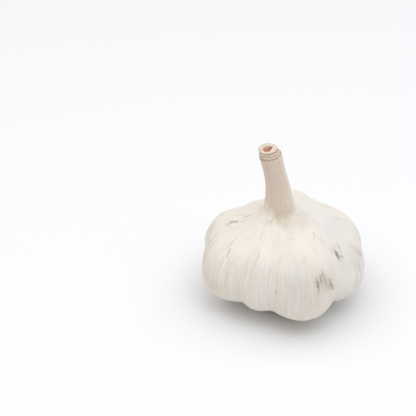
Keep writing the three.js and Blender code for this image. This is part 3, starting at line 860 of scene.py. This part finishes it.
CREAM = paint(225, 218, 207)
COOL = paint(221, 219, 215)
YELLOW = paint(228, 217, 194)
BLUISH = paint(214, 214, 212)
PINKISH = paint(224, 210, 202)
PALE = paint(233, 229, 223)
VEIN = paint(207, 194, 177)
TAN = paint(193, 170, 144)
BROWN = paint(134, 110, 86)
OLIVE_BROWN = paint(158, 142, 76)
TORN_BROWN = paint(176, 150, 98)
RING_BROWN = paint(166, 138, 106)
# The paper's noises: scale, detail, share of the scale lengthways, and shift.
PAPER_NOISES = {
    "patches": (0.14, 3, 0.5),
    "broad": (0.22, 3, 0.16, (5, 0, 0)),
    "tint": (0.46, 3, 0.12, (9, 4, 0)),
    "blush": (0.52, 3, 0.11, (2, 7, 0)),
    "clouds": (0.42, 3, 0.7, (1, 3, 5)),
    "fine": (1.3, 4, 0.06),
    "hair": (3, 3, 0.05, (0, 9, 0)),
    "mottle": (0.8, 4, 0.7, (0, 0, 4)),
    "hairy": (3.5, 2, 0.25, (3, 8, 0)),
    "worn": (0.7, 3, 1, (2, 0, 0)),
}
# The tints over the paper: noise, its values where the tint starts and is full, the tint's strength,
# the fields that it follows, and its colour.
PAPER_TINTS = [
    ("tint", 0.47, 0.32, 0.55, ["veins"], BLUISH),
    ("tint", 0.52, 0.68, 0.55, ["warm", "veins"], YELLOW),
    ("blush", 0.52, 0.68, 0.5, ["veins"], PINKISH),
    ("broad", 0.5, 0.7, 0.28, ["veins"], VEIN),
    ("broad", 0.48, 0.3, 0.22, ["veins"], PALE),
    ("fine", 0.5, 0.36, 0.45, ["veins"], PALE),
    ("fine", 0.52, 0.72, 0.4, ["veins"], VEIN),
    ("hair", 0.5, 0.68, 0.3, ["veins", "veins"], VEIN),
    ("hair", 0.48, 0.34, 0.3, ["veins", "veins"], PALE),
    ("clouds", 0.5, 0.66, 0.4, [], PINKISH),
    ("clouds", 0.47, 0.32, 0.35, [], BLUISH),
    ("mottle", 0.5, 0.72, 0.3, ["warm"], YELLOW),
    ("mottle", 0.45, 0.25, 0.3, [], PALE),
]


def papery(name):
    """Dry garlic skin: cream to grey, veined along its fibres, browner on the neck."""
    nodes = Nodes(name, 0.52, 0.35)
    nodes.read("arc", "neck", "warm", "veins", "painted_shading", "stain_and_shade", "root", "edge", "marks")
    nodes.grow("fibre", PAPER_NOISES)

    patchy = nodes.maths("MULTIPLY_ADD", "patches", 1.2, -0.6)
    warmth = nodes.span(nodes.maths("ADD", "warm", patchy), 0.1, 1)
    colour = nodes.tinted(nodes.blend(warmth, COOL, CREAM), PAPER_TINTS)
    colour = nodes.blend("neck", colour, neck_colour(nodes))
    # Painted shade, and painted light where negative, multiplied into the colour.
    colour = nodes.blend(1, colour, nodes.maths("SUBTRACT", 1, "painted_shading"), "MULTIPLY")

    # Tan where stained, olive brown where strongest; in places this is painted shade in creases, the gap and
    # the seam, and painted shadow and reflection from a neighbouring bulb at the left.
    streaky = nodes.span("hair", 0.3, 0.6, 0.5, 1.1)
    colour = nodes.blend(nodes.times("stain_and_shade", streaky), colour, TAN)
    colour = nodes.blend(nodes.span("stain_and_shade", 0.5, 0.95, 0, 0.85), colour, OLIVE_BROWN)
    colour = nodes.blend(nodes.times("root", streaky), colour, RING_BROWN)
    worn = nodes.span("worn", 0.4, 0.6, 0.1, 0.7)
    colour = nodes.blend(nodes.times("edge", worn), colour, TORN_BROWN)
    hairy = nodes.maths("MULTIPLY_ADD", "hairy", 0.5, -0.25)
    marks = nodes.span(nodes.maths("ADD", hairy, "marks"), 0.08, 1.3, 0, 0.86)
    marks = nodes.times(marks, nodes.span("marks", 0.02, 0.15))

    height = nodes.maths("MULTIPLY", "hair", 0.5)
    for field, share in (("fine", 0.8), ("mottle", 0.5), (marks, -1.2)):
        height = nodes.maths("MULTIPLY_ADD", field, share, height)
    return nodes.finish(nodes.blend(marks, colour, BROWN), height, distance=0.12, strength=0.6)


NECK_NOISES = {
    "streaks": (0.34, 4, 0.08, (0, 3, 0)),
    "threads": (0.95, 3, 0.06, (7, 0, 0)),
    "hues": (0.55, 3, 0.08, (4, 4, 0)),
    "neck_patches": (0.14, 2, 0.9, (0, 0, 9)),
}
NECK_TINTS = [
    ("threads", 0.48, 0.62, 0.38, [], paint(230, 219, 208)),
    ("threads", 0.45, 0.33, 0.36, [], paint(188, 165, 145)),
    ("hues", 0.52, 0.66, 0.35, [], paint(213, 186, 170)),
    ("hues", 0.48, 0.34, 0.32, [], paint(211, 203, 185)),
    ("neck_patches", 0.45, 0.65, 0.3, [], paint(207, 181, 162)),
]
NECK_TINT_HEIGHTS = (40.5, 34.5)  # where the tint at the neck's foot starts, going down, and is full


def neck_colour(nodes):
    """The dried sheaths of the neck: beige with pinkish brown and pale streaks, greyer at its foot."""
    nodes.grow("fibre", NECK_NOISES)
    colour = nodes.blend(nodes.span("streaks", 0.35, 0.65), paint(214, 199, 184), paint(208, 190, 173))
    colour = nodes.tinted(colour, NECK_TINTS)
    low = nodes.span("arc", *map(arc_of, NECK_TINT_HEIGHTS), 0, 0.75)
    colour = nodes.blend(low, colour, paint(207, 195, 174))
    return nodes.blend(nodes.span("warm", 0.7, 0.1, 0, 0.65), colour, paint(226, 219, 210))


CORK_TINTS = [
    ("specks", 0.55, 0.7, 0.5, [], paint(96, 72, 50)),
    ("tip", 0.75, 1, 0.7, [], paint(206, 184, 150)),
]


def sheath_material():
    nodes = Nodes("cut_sheath", 0.6, 0.3)
    nodes.read("brown", "cut")
    nodes.grow("grain", {"mottle": (1.6, 4), "fibres": (2.6, 3, 0.12)})
    side = nodes.blend(nodes.span("fibres", 0.35, 0.65), paint(218, 206, 188), paint(200, 184, 164))
    top = nodes.blend(nodes.span("mottle", 0.35, 0.65), paint(222, 209, 194), paint(205, 190, 172))
    # Brown at the sheath's edges, which in its grooves is partly painted shade.
    browned = nodes.times("brown", nodes.span("mottle", 0.3, 0.6, 0.6, 1))
    colour = nodes.blend(browned, nodes.blend("cut", side, top), paint(156, 126, 98))
    return nodes.finish(colour, nodes.maths("ADD", "mottle", "fibres"), distance=0.12, strength=0.7)


def core_material():
    nodes = Nodes("neck_hollow", 0.7, 0.25)
    nodes.read("depth")
    nodes.grow("grain", {"mottle": (1.4, 4)})
    mottled = nodes.span("mottle", 0.4, 0.6)
    upper = nodes.blend(mottled, paint(230, 206, 184), paint(220, 184, 152))
    lower = nodes.blend(mottled, paint(232, 160, 102), paint(190, 124, 74))
    colour = nodes.blend(nodes.span("depth", 0.5, 2), upper, lower)
    return nodes.finish(colour, "mottle", distance=0.2, strength=0.8)


def root_material():
    nodes = Nodes("root_cork", 0.85, 0.15)
    nodes.read("tip")
    nodes.grow("grain", {"mottle": (1.1, 5), "specks": (4, 3)})
    colour = nodes.blend(nodes.span("mottle", 0.35, 0.65), paint(186, 158, 122), paint(142, 112, 80))
    colour = nodes.tinted(colour, CORK_TINTS)
    return nodes.finish(colour, nodes.maths("ADD", "mottle", "specks"), distance=0.25, strength=0.8)


# ---- Setting
IMAGE_SIZE = 416  # pixels, each way
ORIGIN_PIXEL = (281.6, 293.7)  # where the root plate's middle shows in the photograph
PIXEL_SIZE = 0.3436  # millimetres at the bulb
CAMERA_DISTANCE = 600
CAMERA_ELEVATION = 32
FLOOR_HALF = 4000
FLOOR_COLOUR = (0.785, 0.79, 0.8, 1)
WORLD_COLOUR = (1, 0.994, 0.958, 1)
WORLD_STRENGTH = 0.617
# Two soft panels, in metres and watts: place, tilts about X and Y, sizes, energy and colour.
PANELS = [
    ("front_panel", (0.1, -0.3, 0.62), (26.3, 9.5), (0.4, 0.28), 0.61, (0.78, 0.88, 1)),
    ("overhead_panel", (0, 0, 0.7), (0, 0), (1.6, 1.12), 6.2, (0.975, 0.96, 1)),
]


def make_camera():
    elevation = math.radians(CAMERA_ELEVATION)
    forward = np.array([0, math.cos(elevation), -math.sin(elevation)])
    up = np.array([0, math.sin(elevation), math.cos(elevation)])
    across = (ORIGIN_PIXEL[0] - IMAGE_SIZE / 2) * PIXEL_SIZE
    upward = (IMAGE_SIZE / 2 - ORIGIN_PIXEL[1]) * PIXEL_SIZE
    location = -(forward * CAMERA_DISTANCE + up * upward + np.array([across, 0, 0]))
    data = bpy.data.cameras.new("camera")
    data.lens = CAMERA_DISTANCE / PIXEL_SIZE / IMAGE_SIZE * data.sensor_width
    data.clip_end = 20  # metres
    camera = add_object("camera", data)
    camera.location = location * MM
    camera.rotation_euler = (math.radians(90 - CAMERA_ELEVATION), 0, 0)
    bpy.context.scene.camera = camera


def make_floor():
    nodes = Nodes("floor", 0.9, 0)
    nodes.shader.inputs["Base Color"].default_value = FLOOR_COLOUR
    corners = FLOOR_HALF * np.array([(-1, -1, 0), (1, -1, 0), (1, 1, 0), (-1, 1, 0)])
    floor = make_mesh("floor", corners, [(0, 1, 2, 3)], {}, nodes.material)


def make_lights():
    world = bpy.data.worlds.new("studio")
    bpy.context.scene.world = world
    world.use_nodes = True
    background = world.node_tree.nodes["Background"]
    background.inputs["Color"].default_value = WORLD_COLOUR
    background.inputs["Strength"].default_value = WORLD_STRENGTH
    for name, location, tilts, sizes, energy, colour in PANELS:
        panel = bpy.data.lights.new(name, "AREA")
        panel.shape = "RECTANGLE"
        panel.size, panel.size_y = sizes
        panel.energy, panel.color = energy, colour
        light = add_object(name, panel)
        light.location = location
        light.rotation_euler = (*map(math.radians, tilts), 0)


# ---- The scene
def place(piece, slot, *nodes):
    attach(piece, "root")
    if nodes:
        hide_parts(*nodes)


bpy.context.scene.view_settings.view_transform = "Standard"
make_camera()
make_lights()
make_floor()
place(inner_skin(papery("inner_paper")), "papery_skin", "garlic_bulb")
place(outer_leaf(papery("papery_skin")), "papery_skin")
place(inner_sheath(sheath_material()), "neck_sheath")
place(neck_core(core_material()), "neck_core")
cork = root_material()
place(root_plate(cork), "root_plate")
place(root_stubs(cork), "root_plate")
